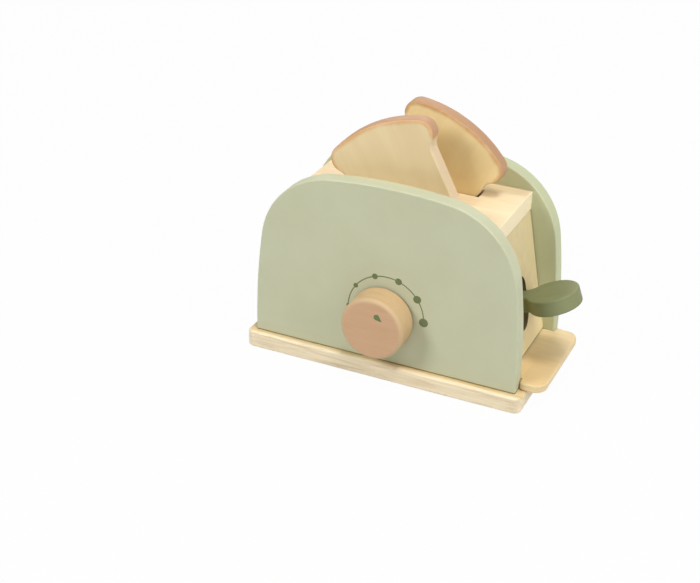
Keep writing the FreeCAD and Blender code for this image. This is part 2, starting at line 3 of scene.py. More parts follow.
import json
import logging
import math
from dataclasses import dataclass, replace
from enum import Enum
from typing import Any, Iterable, Sequence

import bmesh
import bpy
from mathutils import Matrix, Quaternion, Vector


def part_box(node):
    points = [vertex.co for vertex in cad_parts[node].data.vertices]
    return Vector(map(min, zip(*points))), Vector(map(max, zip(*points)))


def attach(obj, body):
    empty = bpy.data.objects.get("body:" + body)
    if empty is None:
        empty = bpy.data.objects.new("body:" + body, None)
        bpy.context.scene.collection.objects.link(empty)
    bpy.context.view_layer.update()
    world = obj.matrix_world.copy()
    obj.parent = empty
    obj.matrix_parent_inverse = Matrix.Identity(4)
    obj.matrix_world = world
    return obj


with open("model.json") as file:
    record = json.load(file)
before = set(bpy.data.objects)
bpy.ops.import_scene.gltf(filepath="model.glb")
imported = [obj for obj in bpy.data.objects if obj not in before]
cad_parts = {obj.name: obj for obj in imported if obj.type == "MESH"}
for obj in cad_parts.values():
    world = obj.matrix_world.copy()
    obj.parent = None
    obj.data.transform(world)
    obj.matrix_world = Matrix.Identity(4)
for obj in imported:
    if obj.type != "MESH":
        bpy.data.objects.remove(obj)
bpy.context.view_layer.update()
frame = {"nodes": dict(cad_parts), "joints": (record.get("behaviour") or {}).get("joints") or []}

LOG = logging.getLogger("toy_toaster")
MM = 0.001
# A box that reaches this far to a side has no limit there.
FAR = 1.0
Colour = tuple[float, float, float]
Point = tuple[float, float, float]
Socket = bpy.types.NodeSocket


def linear(red: int, green: int, blue: int) -> Colour:
    """Turn an sRGB colour of 0 to 255 into linear light.

    Args:
        red: Red, 0 to 255.
        green: Green, 0 to 255.
        blue: Blue, 0 to 255.

    Returns:
        The colour as three linear values.
    """
    values = []
    for value in (red, green, blue):
        share = value / 255
        values.append(share / 12.92 if share <= 0.04045 else ((share + 0.055) / 1.055) ** 2.4)
    return (values[0], values[1], values[2])


class Axis(Enum):
    """One of the frame's three axes."""

    X = 0
    Y = 1
    Z = 2

    def scaled(self, share: float) -> Point:
        """Scale of 1 on every axis but this one.

        Args:
            share: Scale of this axis.

        Returns:
            The three scales.
        """
        scale = [1.0, 1.0, 1.0]
        scale[self.value] = share
        return (scale[0], scale[1], scale[2])


@dataclass(frozen=True)
class Waves:
    """A noise pattern, and the part of its range that is used.

    Attributes:
        scale: Waves to the metre.
        detail: Number of finer layers.
        low: Noise that gives the lowest result.
        high: Noise that gives the highest.
        roughness: Strength of the finer layers.
        distortion: How far the pattern is bent.
        stretch: Share of its scale that it keeps along the grain.
    """

    scale: float
    detail: float = 2.0
    low: float = 0.3
    high: float = 0.7
    roughness: float = 0.5
    distortion: float = 0.0
    stretch: float = 1.0


RING_WANDER = Waves(22, low=0.2, high=0.8, stretch=0.16)
RING_WAVER = Waves(150, low=0.2, high=0.8, stretch=0.1)
LINE_FADE = Waves(35, stretch=0.2)
PATCHES = Waves(40, 3, 0.3, 0.75, stretch=0.25)
FINE_FIBRES = Waves(1400, 2, 0.35, 0.7, 0.6, stretch=0.02)
PORES = Waves(1700, 1, 0.66, 0.76, stretch=0.07)
STREAKS = Waves(320, 4, 0.42, 0.74, 0.62, 0.6, stretch=0.07)
LACQUER = Waves(160, stretch=0.1)
RAISED_FIBRES = Waves(1100, roughness=0.6, stretch=0.03)
PLY_WAVER = Waves(45, low=0.2, high=0.8)
PLY_LINES = Waves(380, 3, 0.35, 0.7, 0.6, 0.3, stretch=0.04)
SPRAY_EDGE = Waves(45, 3, 0.25, 0.75, 0.6)
SPRAY_SPECKS = Waves(1500, 2, 0.35, 0.65)
PAINT_CLOUDS = Waves(22, 3, roughness=0.55)
PAINT_SPECKS = Waves(1100, 2, 0.35, 0.65)
PAINT_SHEEN = Waves(90)
PAINT_PEEL = Waves(700)
PAINTED_FIBRES = Waves(500, roughness=0.6, stretch=0.05)
INK_COVER = Waves(1500, 2, 0.5, 0.8, 0.6)
ZINC_CLOUDS = Waves(700, 3)
FELT_FIBRES = Waves(2600, 4, 0.35, 0.7, 0.7, 1.5)


class Tree:
    """A material's node tree, with short ways to add and join nodes."""

    def __init__(self, name: str) -> None:
        """Start a material with one Principled shader.

        Args:
            name: Name of the material.
        """
        self.material = bpy.data.materials.new(name)
        self.material.use_nodes = True
        self.nodes = self.material.node_tree.nodes
        self.links = self.material.node_tree.links
        self.nodes.clear()
        self.output = self.nodes.new("ShaderNodeOutputMaterial")
        self.shader = self.nodes.new("ShaderNodeBsdfPrincipled")
        self.links.new(self.shader.outputs["BSDF"], self.output.inputs["Surface"])

    def put(self, socket: Socket, value: Any) -> None:
        """Join a socket to another, or set it to a constant.

        Args:
            socket: The input to fill.
            value: An output socket, or a constant; three numbers stand for an opaque colour.
        """
        if isinstance(value, Socket):
            self.links.new(value, socket)
        elif isinstance(value, tuple) and len(value) == 3 and socket.type == "RGBA":
            socket.default_value = (*value, 1.0)
        else:
            socket.default_value = value

    def add(self, kind: str, inputs: dict[Any, Any], **settings: Any) -> bpy.types.Node:
        """Add a node.

        Args:
            kind: The node's type, without its "ShaderNode" prefix.
            inputs: Socket name or number to a constant or a socket.
            settings: The node's own options.

        Returns:
            The new node.
        """
        node = self.nodes.new("ShaderNode" + kind)
        for key, value in settings.items():
            setattr(node, key, value)
        for key, value in inputs.items():
            self.put(node.inputs[key], value)
        return node

    def place(self, centre: Point = (0.0, 0.0, 0.0), turn: float = 0.0,
              scale: Point = (1.0, 1.0, 1.0)) -> Socket:
        """Object coordinates, centred, turned back about Y and then scaled.

        Args:
            centre: Point that becomes the origin, in metres.
            turn: Angle about Y, in radians.
            scale: Scale of each axis.

        Returns:
            The coordinate socket.
        """
        coordinates = self.add("TexCoord", {}).outputs["Object"]
        moved = self.add("VectorMath", {0: coordinates, 1: centre}, operation="SUBTRACT").outputs[0]
        turned = self.add("Mapping", {"Vector": moved, "Rotation": (0.0, turn, 0.0)},
                          vector_type="POINT").outputs["Vector"]
        return self.add("VectorMath", {0: turned, 1: scale}, operation="MULTIPLY").outputs[0]

    def length(self, vector: Socket) -> Socket:
        """Length of a vector."""
        return self.add("VectorMath", {0: vector}, operation="LENGTH").outputs["Value"]

    def parts(self, vector: Socket) -> tuple[Socket, Socket, Socket]:
        """The vector's three values."""
        out = self.add("SeparateXYZ", {0: vector}).outputs
        return (out["X"], out["Y"], out["Z"])

    def distance(self, first: Socket, second: Socket) -> Socket:
        """Length of a step of two values at right angles."""
        return self.length(self.add("CombineXYZ", {0: first, 1: second}).outputs[0])

    def noise(self, vector: Socket, waves: Waves) -> Socket:
        """Noise from 0 to 1.

        Args:
            vector: Coordinates that it is read at.
            waves: Its pattern.

        Returns:
            The noise.
        """
        return self.add("TexNoise", {"Vector": vector, "Scale": waves.scale,
                                     "Detail": waves.detail, "Roughness": waves.roughness,
                                     "Distortion": waves.distortion},
                        noise_dimensions="3D").outputs["Fac"]

    def span(self, value: Any, low: float, high: float, to_low: float = 0.0,
             to_high: float = 1.0, smooth: bool = True) -> Socket:
        """Map a range of a value to another range, held at its ends.

        Args:
            value: The value, constant or socket.
            low: Start of its range.
            high: End of its range.
            to_low: Result up to the start.
            to_high: Result from the end on.
            smooth: Whether the change sets in and ends softly.

        Returns:
            The mapped value.
        """
        kind = "SMOOTHSTEP" if smooth else "LINEAR"
        return self.add("MapRange", {"Value": value, "From Min": low, "From Max": high,
                                     "To Min": to_low, "To Max": to_high},
                        interpolation_type=kind, clamp=True).outputs["Result"]

    def spread(self, vector: Socket, waves: Waves, to_low: float = 0.0, to_high: float = 1.0,
               smooth: bool = True) -> Socket:
        """Noise whose used part is mapped to another range."""
        return self.span(self.noise(vector, waves), waves.low, waves.high, to_low, to_high, smooth)

    def calc(self, operation: str, first: Any, *rest: Any) -> Socket:
        """Arithmetic on values in turn: the first with the second, the result with the third.

        Args:
            operation: Name of the operation.
            first: The first value, constant or socket.
            rest: The values that follow; an operation on one value has none.

        Returns:
            The last result.
        """
        result = first
        for value in rest or (0.0,):
            result = self.add("Math", {0: result, 1: value}, operation=operation).outputs[0]
        return result

    def blend(self, share: Any, first: Any, second: Any) -> Socket:
        """Mix two colours.

        Args:
            share: Share of the second colour, 0 to 1.
            first: The first colour.
            second: The second colour.

        Returns:
            The mixed colour.
        """
        node = self.add("Mix", {}, data_type="RGBA", blend_type="MIX", clamp_factor=True)
        self.put(node.inputs[0], share)
        self.put(node.inputs[6], first)
        self.put(node.inputs[7], second)
        return node.outputs[2]

    def bump(self, height: Socket, depth: float, strength: float = 1.0,
             below: Socket | None = None) -> Socket:
        """Bump of a real depth, on top of another bump if there is one.

        Args:
            height: Height of the surface, 0 to 1.
            depth: Depth that a height of 1 stands for, in metres.
            strength: Share of the bump that shows.
            below: Normal of the bump under it, if any.

        Returns:
            The normal.
        """
        inputs = {"Height": height, "Distance": depth, "Strength": strength}
        if below is not None:
            inputs["Normal"] = below
        return self.add("Bump", inputs).outputs["Normal"]

    def finish(self, colour: Any, roughness: Any, normal: Socket | None = None,
               **constants: float) -> bpy.types.Material:
        """Set the shader and return the material.

        Args:
            colour: Base colour, constant or socket.
            roughness: Roughness, constant or socket.
            normal: Normal socket, if any.
            constants: Other shader sockets by name, with _ for a space.

        Returns:
            The finished material.
        """
        self.put(self.shader.inputs["Base Color"], colour)
        self.put(self.shader.inputs["Roughness"], roughness)
        if normal is not None:
            self.put(self.shader.inputs["Normal"], normal)
        for name, value in constants.items():
            self.put(self.shader.inputs[name.replace("_", " ")], value)
        return self.material


SHADE_SHARE = 0.7
SHADE_SOFT: Point = (0.4 * MM, 0.4 * MM, 0.4 * MM)


@dataclass(frozen=True)
class Shade:
    """Place where a finish has another colour, such as painted shade in a seam or painted light on an end
    face.

    Attributes:
        low: Lowest corner of its box, in metres.
        high: Highest corner.
        colour: Colour of that place.
        share: How much of the finish it covers.
        soft: Distance over which it fades out around the box, along X, Y and Z.
    """

    low: Point
    high: Point
    colour: Colour
    share: float = SHADE_SHARE
    soft: Point = SHADE_SOFT

    @classmethod
    def past(cls, axis: Axis, sign: int, level: float, colour: Colour,
             share: float = SHADE_SHARE, soft: Point = SHADE_SOFT) -> "Shade":
        """Shade all that lies past a level.

        Args:
            axis: Axis of the level.
            sign: 1 for what lies above it, -1 for what lies below.
            level: The level, in metres.
            colour: Colour of the shade.
            share: How much of the finish it covers.
            soft: Distance over which it fades out.

        Returns:
            The shade.
        """
        low, high = [-FAR] * 3, [FAR] * 3
        (low if sign > 0 else high)[axis.value] = level
        return cls((low[0], low[1], low[2]), (high[0], high[1], high[2]), colour, share, soft)

    def over(self, tree: Tree, colour: Any) -> Socket:
        """Lay the shade over a colour.

        Args:
            tree: The material's tree.
            colour: The colour under it.

        Returns:
            The shaded colour.
        """
        share: Any = self.share
        for value, low, high, soft in zip(tree.parts(tree.place()), self.low, self.high, self.soft):
            if low > -FAR:
                share = tree.calc("MULTIPLY", share, tree.span(value, low - soft, low))
            if high < FAR:
                share = tree.calc("MULTIPLY", share, tree.span(value, high, high + soft, 1.0, 0.0))
        return tree.blend(share, colour, self.colour)


@dataclass(frozen=True)
class SlotShade:
    """Painted shade on the wall of a round-ended slot that is sawn through a board along X.

    Attributes:
        low: Height of the slot's lower end.
        high: Height of its upper end.
        half: Half its width.
        colour: Colour of the painted shade.
        share: How much of the finish it covers.
        skin: How deep it goes into the wood.
    """

    low: float
    high: float
    half: float
    colour: Colour
    share: float = 0.78
    skin: float = 0.12 * MM

    def over(self, tree: Tree, colour: Any) -> Socket:
        """Lay the painted shade over a colour.

        Args:
            tree: The material's tree.
            colour: The colour under it.

        Returns:
            The shaded colour.
        """
        _, across, up = tree.parts(tree.place())
        low, high = self.low + self.half, self.high - self.half
        straight = tree.span(up, low, high, low, high, smooth=False)
        reach = tree.distance(across, tree.calc("SUBTRACT", up, straight))
        share = tree.span(reach, self.half + self.skin, self.half + 2 * self.skin, self.share, 0.0)
        return tree.blend(share, colour, self.colour)


# Parts of a growth ring over which its late wood sets in, and over which it ends.
LATE_WOOD = (0.15, 0.82)
RING_END = (0.86, 1.0)
# Strength of the late wood's lines where they are faintest.
FAINT_LINES = 0.45
# How far the lacquer's roughness falls and rises from its mean.
SUNK_LACQUER = (-0.05, 0.07)
FIBRE_DEPTH = 0.05 * MM
FIBRE_STRENGTH = 0.45
WOOD_SPECULAR = 0.35


def wood_relief(tree: Tree, place: Socket) -> Socket:
    """Bump of raised fibres, at coordinates that change slowly along the grain."""
    return tree.bump(tree.noise(place, RAISED_FIBRES), FIBRE_DEPTH, FIBRE_STRENGTH)


@dataclass(frozen=True)
class BoardWood:
    """Sanded wood under a thin matt lacquer, cut from a log with its pith along one axis.

    The pattern is solid: it runs through the board, so faces, edges and ends agree.

    Attributes:
        name: Name of the material.
        light: Colour of the early wood.
        dark: Colour of the late wood's lines.
        grain: Axis that the grain runs along, after the turn.
        pith: Point on the pith, in metres.
        turn: Angle about Y that stands a leaning board upright, in radians.
        ring: Mean width of a growth ring.
        wander: How far the rings stray from circles.
        contrast: Share of the dark colour in the late wood.
        flecks: Share of the dark colour in short pores.
        cloud: Share of the dark colour in broad soft patches.
        streaks: Share of the dark colour in short streaks that wander along the grain.
        fibres: Share of the dark colour by which fine fibres differ.
        roughness: Mean roughness of the lacquer.
        shades: Places of another colour.
    """

    name: str
    light: Colour
    dark: Colour
    grain: Axis = Axis.X
    pith: Point = (0.0, 0.0, 0.0)
    turn: float = 0.0
    ring: float = 2.6 * MM
    wander: float = 5.0 * MM
    contrast: float = 0.4
    flecks: float = 0.12
    cloud: float = 0.35
    streaks: float = 0.15
    fibres: float = 0.08
    roughness: float = 0.55
    shades: tuple[Shade | SlotShade, ...] = ()

    def along(self, tree: Tree, stretch: float) -> Socket:
        """Coordinates that change slowly along the grain."""
        return tree.place(self.pith, self.turn, self.grain.scaled(stretch))

    def pattern(self, tree: Tree, waves: Waves, to_low: float = 0.0, to_high: float = 1.0,
                smooth: bool = True) -> Socket:
        """Noise drawn out along the grain, mapped to a range."""
        return tree.spread(self.along(tree, waves.stretch), waves, to_low, to_high, smooth)

    def rings(self, tree: Tree) -> Socket:
        """Late wood of the growth rings: it darkens slowly outwards and ends sharply.

        Args:
            tree: The material's tree.

        Returns:
            How much of the wood is late wood, 0 to 1.
        """
        radius = tree.length(self.along(tree, 0.0))
        slow = self.pattern(tree, RING_WANDER, -self.wander, self.wander, smooth=False)
        quick = self.pattern(tree, RING_WAVER, -self.ring / 4, self.ring / 4, smooth=False)
        strayed = tree.calc("ADD", radius, slow, quick)
        turn = tree.calc("FRACT", tree.calc("DIVIDE", strayed, self.ring))
        rise = tree.span(turn, *LATE_WOOD)
        fall = tree.span(turn, *RING_END, 1.0, 0.0)
        return tree.calc("MULTIPLY", rise, fall)

    def share(self, tree: Tree) -> Socket:
        """Add up the rings, the broad patches and the fine marks.

        Args:
            tree: The material's tree.

        Returns:
            Share of the dark colour.
        """
        fade = self.pattern(tree, LINE_FADE, FAINT_LINES, 1.0)
        lines = tree.calc("MULTIPLY", self.rings(tree), fade, self.contrast)
        broad = self.pattern(tree, PATCHES, 0.0, self.cloud)
        fibres = self.pattern(tree, FINE_FIBRES, -self.fibres, self.fibres)
        pores = self.pattern(tree, PORES, 0.0, self.flecks)
        streaks = self.pattern(tree, STREAKS, 0.0, self.streaks)
        fine = tree.calc("ADD", fibres, pores, streaks)
        return tree.calc("ADD", lines, broad, fine)

    def relief(self, tree: Tree) -> Socket:
        """Fibres that stand a few hundredths of a millimetre proud."""
        return wood_relief(tree, self.along(tree, RAISED_FIBRES.stretch))

    def sheen(self, tree: Tree) -> Socket:
        """Roughness of the lacquer, which sinks in unevenly."""
        shine, dull = SUNK_LACQUER
        return self.pattern(tree, LACQUER, self.roughness + shine, self.roughness + dull)

    def material(self) -> bpy.types.Material:
        """Build the material.

        Returns:
            The finished material.
        """
        tree = Tree(self.name)
        colour = tree.blend(self.share(tree), self.light, self.dark)
        for shade in self.shades:
            colour = shade.over(tree, colour)
        return tree.finish(colour, self.sheen(tree), self.relief(tree),
                           Specular_IOR_Level=WOOD_SPECULAR)


@dataclass(frozen=True)
class KnobWood:
    """Turned beech whose face is a shade darker than its rounded rim and side; the rim's paler colour is a
    painted highlight.

    Attributes:
        name: Name of the material.
        face: Wood of the flat face.
        side: Wood of the side.
        rim: Colour of the rounded rim, a painted highlight.
        axis: Point on the knob's axis, on its face.
        face_radius: Radius at which the face starts to round off.
        rim_radius: Radius at which the rim is lightest.
        rim_depth: Depths behind the face between which the rim's colour ends.
        back: Painted shade along the back edge.
    """

    name: str
    face: BoardWood
    side: BoardWood
    rim: Colour
    axis: Point
    face_radius: float
    rim_radius: float
    rim_depth: tuple[float, float]
    back: Shade

    def material(self) -> bpy.types.Material:
        """Build the material.

        Returns:
            The finished material.
        """
        tree = Tree(self.name)
        radius = tree.length(tree.place(self.axis, scale=Axis.Y.scaled(0.0)))
        depth = tree.parts(tree.place(self.axis))[1]
        face = tree.blend(self.face.share(tree), self.face.light, self.face.dark)
        side = tree.blend(self.side.share(tree), self.side.light, self.side.dark)
        outside = tree.span(radius, self.face_radius, self.rim_radius)
        near = tree.span(depth, *self.rim_depth, 1.0, 0.0)
        colour = tree.blend(outside, face, tree.blend(near, side, self.rim))
        colour = self.back.over(tree, colour)
        return tree.finish(colour, self.face.sheen(tree), self.face.relief(tree),
                           Specular_IOR_Level=WOOD_SPECULAR)


@dataclass(frozen=True)
class Plywood:
    """Plywood: plies stacked along one axis, with the grain of every second one turned.

    Attributes:
        name: Name of the material.
        stack: Axis across the plies.
        start: Place of the first ply's outer face on that axis.
        ply: Thickness of a ply.
        light: Colour of a ply seen along its grain.
        dark: Colour of its lines.
        end: Colour of a ply seen end on.
        contrast: Share of the dark colour in the lines.
        crossed: How much of its own colour every second ply shows.
        waver: How far the plies waver, as a share of a ply.
        blur: Half the width of the change from ply to ply, as a share of a ply.
        glue: Half the width of a glue line, as a share of a ply.
        glue_share: Share of the dark colour in that line.
        roughness: Roughness.
    """

    name: str
    stack: Axis
    start: float
    ply: float = 1.5 * MM
    light: Colour = linear(240, 222, 188)
    dark: Colour = linear(206, 176, 132)
    end: Colour = linear(222, 196, 158)
    contrast: float = 0.5
    crossed: float = 0.7
    waver: float = 0.1
    blur: float = 0.06
    glue: float = 0.08
    glue_share: float = 0.3
    roughness: float = 0.58

    def material(self) -> bpy.types.Material:
        """Build the material.

        Returns:
            The finished material.
        """
        tree = Tree(self.name)
        flat = [axis for axis in Axis if axis is not self.stack]
        level = tree.parts(tree.place())[self.stack.value]
        waver = tree.spread(tree.place(), PLY_WAVER, -self.waver, self.waver, smooth=False)
        count = tree.calc("DIVIDE", tree.calc("SUBTRACT", level, self.start), self.ply)
        pair = tree.calc("PINGPONG", tree.calc("ADD", count, waver), 1.0)
        cross = tree.span(pair, 0.5 - self.blur, 0.5 + self.blur)
        lines = [tree.spread(tree.place(scale=axis.scaled(PLY_LINES.stretch)), PLY_LINES,
                             0.0, self.contrast) for axis in flat]
        face = tree.blend(lines[0], self.light, self.dark)
        inner = tree.blend(lines[1], self.end, self.dark)
        colour = tree.blend(tree.calc("MULTIPLY", cross, self.crossed), face, inner)
        off_joint = tree.calc("ABSOLUTE", tree.calc("SUBTRACT", pair, 0.5))
        glue = tree.span(off_joint, 0.0, self.glue, self.glue_share, 0.0)
        colour = tree.blend(glue, colour, self.dark)
        relief = wood_relief(tree, tree.place(scale=flat[0].scaled(RAISED_FIBRES.stretch)))
        return tree.finish(colour, self.roughness, relief, Specular_IOR_Level=WOOD_SPECULAR)


@dataclass(frozen=True)
class BreadWood:
    """Light wood of a bread slice, with a crust sprayed on around its crown.

    Attributes:
        name: Name of the material.
        wood: The slice's wood.
        toasted: Colour of the spray where it is thick.
        crust: Colour of the crown's edge.
        sawn: Colour of the stem's bare edge.
        foot: Middle of the slice's foot, in metres.
        turn: Angle about Y that stands the slice upright, in radians.
        crown_radius: Radius of the crown's arc.
        crown_centre: Height of that arc's centre over the foot.
        ear: Place of an ear's centre: out from the middle, and up from the foot.
        ear_radius: Radius of an ear.
        under: Direction from an ear's centre to the end of its round: out and up.
        stem: Half the stem's width.
        stem_top: Height over the foot at which the stem's straight edge ends.
        spray: How far the spray fades in from the edge.
        stray: How far that edge strays, as a share of the spray's reach.
        thinnest: Share of the spray between its specks.
        under_fade: Heights over an ear's underside between which the spray sets in.
        bare_share: How much of the stem's edge the sawn colour covers.
        bare: Depths in from the stem's side between which the sawn colour ends.
        bare_top: Heights over the stem's straight edge between which it ends.
        edge: Depths in from the outline between which the crust's colour ends.
    """

    name: str
    wood: BoardWood
    toasted: Colour
    crust: Colour
    sawn: Colour
    foot: Point
    turn: float
    crown_radius: float
    crown_centre: float
    ear: tuple[float, float]
    ear_radius: float
    under: tuple[float, float]
    stem: float
    stem_top: float
    spray: float = 5.0 * MM
    stray: float = 0.3
    thinnest: float = 0.82
    under_fade: tuple[float, float] = (-1.5 * MM, 4.0 * MM)
    bare_share: float = 0.8
    bare: tuple[float, float] = (0.2 * MM, 1.2 * MM)
    bare_top: tuple[float, float] = (4.0 * MM, 12.0 * MM)
    edge: tuple[float, float] = (0.15 * MM, 0.9 * MM)

    def depth(self, tree: Tree) -> tuple[Socket, Socket]:
        """How deep a point lies within the crown's outline.

        Args:
            tree: The material's tree.

        Returns:
            The depth in metres, and the share of spray that the place gets.
        """
        ear_out, ear_up = self.ear
        under_out, under_up = self.under
        across, _, up = tree.parts(tree.place(self.foot, self.turn))
        out = tree.calc("ABSOLUTE", across)
        rise = tree.calc("SUBTRACT", up, self.crown_centre)
        crown = tree.calc("SUBTRACT", self.crown_radius, tree.distance(out, rise))
        past = tree.calc("SUBTRACT", out, ear_out)
        over = tree.calc("SUBTRACT", up, ear_up)
        ear = tree.calc("SUBTRACT", self.ear_radius, tree.distance(past, over))
        side = tree.calc("SUBTRACT", tree.calc("MULTIPLY", out, ear_up - self.crown_centre),
                         tree.calc("MULTIPLY", rise, ear_out))
        beyond = tree.calc("GREATER_THAN", side, 0.0)
        above = tree.calc("ADD", tree.calc("MULTIPLY", over, under_out),
                          tree.calc("MULTIPLY", past, -under_up))
        sprayed = tree.span(above, *self.under_fade)
        either = tree.calc("MAXIMUM", sprayed, tree.calc("SUBTRACT", 1.0, beyond))
        mixed = tree.add("Mix", {}, data_type="FLOAT", clamp_factor=True)
        tree.put(mixed.inputs[0], beyond)
        tree.put(mixed.inputs[2], crown)
        tree.put(mixed.inputs[3], ear)
        return mixed.outputs[0], either

    def bare_edge(self, tree: Tree) -> Socket:
        """Bare sawn edge along the stem's two sides.

        Args:
            tree: The material's tree.

        Returns:
            Share of the sawn colour.
        """
        across, _, up = tree.parts(tree.place(self.foot, self.turn))
        inside = tree.calc("SUBTRACT", self.stem, tree.calc("ABSOLUTE", across))
        low, high = self.bare_top
        beside = tree.span(inside, *self.bare, self.bare_share, 0.0)
        below = tree.span(up, self.stem_top + low, self.stem_top + high, 1.0, 0.0)
        return tree.calc("MULTIPLY", beside, below)

    def material(self) -> bpy.types.Material:
        """Build the material.

        Returns:
            The finished material.
        """
        tree = Tree(self.name)
        wood = tree.blend(self.wood.share(tree), self.wood.light, self.wood.dark)
        wood = tree.blend(self.bare_edge(tree), wood, self.sawn)
        depth, sprayed = self.depth(tree)
        stray = self.spray * self.stray
        uneven = tree.spread(tree.place(self.foot), SPRAY_EDGE, -stray, stray, smooth=False)
        toast = tree.span(tree.calc("ADD", depth, uneven), 0.0, self.spray, 1.0, 0.0)
        speck = tree.spread(tree.place(self.foot), SPRAY_SPECKS, self.thinnest, 1.0)
        colour = tree.blend(tree.calc("MULTIPLY", toast, sprayed, speck), wood, self.toasted)
        edge = tree.calc("MULTIPLY", tree.span(depth, *self.edge, 1.0, 0.0), sprayed)
        colour = tree.blend(edge, colour, self.crust)
        return tree.finish(colour, self.wood.sheen(tree), self.wood.relief(tree),
                           Specular_IOR_Level=WOOD_SPECULAR)


@dataclass(frozen=True)
class MattPaint:
    """Matt paint sprayed on sanded wood, with faint mottling and spray texture.

    Attributes:
        name: Name of the material.
        colour: The paint's colour.
        dense: Colour of its denser patches.
        cloud: Share of the dense colour in broad patches.
        speck: Share of it by which fine specks differ.
        peel: Depth of the spray's texture.
        grain: Depth of the wood's fibres under the paint.
        relief: Share of both depths that shows.
        roughness: Mean roughness.
        sheen: How far the roughness differs from place to place.
        specular: Strength of the gloss.
        shades: Places of another colour.
    """

    name: str
    colour: Colour
    dense: Colour
    cloud: float = 0.5
    speck: float = 0.1
    peel: float = 0.08 * MM
    grain: float = 0.05 * MM
    relief: float = 0.3
    roughness: float = 0.6
    sheen: float = 0.06
    specular: float = 0.4
    shades: tuple[Shade, ...] = ()

    def material(self) -> bpy.types.Material:
        """Build the material.

        Returns:
            The finished material.
        """
        tree = Tree(self.name)
        cloud = tree.spread(tree.place(), PAINT_CLOUDS, 0.0, self.cloud)
        speck = tree.spread(tree.place(), PAINT_SPECKS, -self.speck, self.speck)
        colour = tree.blend(tree.calc("ADD", cloud, speck), self.colour, self.dense)
        for shade in self.shades:
            colour = shade.over(tree, colour)
        peel = tree.bump(tree.noise(tree.place(), PAINT_PEEL), self.peel, self.relief)
        grain = tree.place(scale=Axis.X.scaled(PAINTED_FIBRES.stretch))
        normal = tree.bump(tree.noise(grain, PAINTED_FIBRES), self.grain, self.relief, peel)
        rough = tree.spread(tree.place(), PAINT_SHEEN, self.roughness - self.sheen,
                            self.roughness + self.sheen)
        return tree.finish(colour, rough, normal, Specular_IOR_Level=self.specular)


@dataclass(frozen=True)
class PrintInk:
    """Thin ink printed with a pad, a little worn where it covers less.

    Attributes:
        name: Name of the material.
        colour: The ink's colour.
        thin: Its colour where the ground shows through.
        wear: Largest share of the thin colour.
        depth: Depth of the worn spots.
        relief: Share of that depth that shows.
        roughness: Roughness.
        specular: Strength of the gloss.
    """

    name: str
    colour: Colour
    thin: Colour
    wear: float = 0.55
    depth: float = 0.02 * MM
    relief: float = 0.4
    roughness: float = 0.62
    specular: float = 0.3

    def material(self) -> bpy.types.Material:
        """Build the material.

        Returns:
            The finished material.
        """
        tree = Tree(self.name)
        worn = tree.spread(tree.place(), INK_COVER, 0.0, self.wear)
        colour = tree.blend(worn, self.colour, self.thin)
        normal = tree.bump(worn, self.depth, self.relief)
        return tree.finish(colour, self.roughness, normal, Specular_IOR_Level=self.specular)


@dataclass(frozen=True)
class ZincSteel:
    """Zinc-plated steel of a small screw.

    Attributes:
        name: Name of the material.
        dull: Colour of the duller patches.
        bright: Colour of the brighter ones.
        roughness: Least and greatest roughness.
    """

    name: str
    dull: Colour = (0.50, 0.51, 0.50)
    bright: Colour = (0.68, 0.67, 0.62)
    roughness: tuple[float, float] = (0.28, 0.45)

    def material(self) -> bpy.types.Material:
        """Build the material.

        Returns:
            The finished material.
        """
        tree = Tree(self.name)
        cloud = tree.noise(tree.place(), ZINC_CLOUDS)
        rough = tree.spread(tree.place(), ZINC_CLOUDS, *self.roughness)
        return tree.finish(tree.blend(cloud, self.dull, self.bright), rough, Metallic=1.0)


@dataclass(frozen=True)
class WoolFelt:
    """Pressed wool felt.

    Attributes:
        name: Name of the material.
        colour: Colour between the fibres.
        fluff: Colour of the fibres.
        depth: Depth of the fibres' relief.
        relief: Share of that depth that shows.
        roughness: Roughness.
        sheen: Strength of the soft sheen of loose fibres.
    """

    name: str
    colour: Colour
    fluff: Colour
    depth: float = 0.2 * MM
    relief: float = 0.7
    roughness: float = 0.95
    sheen: float = 0.3

    def material(self) -> bpy.types.Material:
        """Build the material.

        Returns:
            The finished material.
        """
        tree = Tree(self.name)
        fibres = tree.noise(tree.place(), FELT_FIBRES)
        colour = tree.blend(tree.spread(tree.place(), FELT_FIBRES), self.colour, self.fluff)
        normal = tree.bump(fibres, self.depth, self.relief)
        return tree.finish(colour, self.roughness, normal, Sheen_Weight=self.sheen)


BEECH = BoardWood("beech", linear(229, 201, 157), linear(196, 158, 108), Axis.Y, ring=1.8 * MM,
                  wander=3 * MM, contrast=0.3, flecks=0.35)
OLIVE_INK = PrintInk("olive_ink", linear(111, 122, 82), linear(138, 145, 108))


def dress(nodes: Iterable[str], material: bpy.types.Material) -> None:
    """Give CAD nodes a material.

    Args:
        nodes: Names of the nodes.
        material: Their material.
    """
    for name in nodes:
        data = frame["nodes"][name].data
        data.materials.clear()
        data.materials.append(material)


def middle(node: str) -> Vector:
    """Middle of a CAD node's box."""
    low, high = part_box(node)
    return (low + high) / 2


def printed(name: str, mesh: bmesh.types.BMesh, body: str, material: bpy.types.Material) -> bpy.types.Object:
    """Turn a finished mesh into a printed mark that rides on a body.

    Args:
        name: Name of the piece.
        mesh: Its mesh, in place; it is freed.
        body: The body that carries it.
        material: Its material.

    Returns:
        The new object.
    """
    bmesh.ops.recalc_face_normals(mesh, faces=mesh.faces)
    data = bpy.data.meshes.new(name)
    mesh.to_mesh(data)
    mesh.free()
    data.materials.append(material)
    piece = bpy.data.objects.new(name, data)
    bpy.context.scene.collection.objects.link(piece)
    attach(piece, body)
    return piece


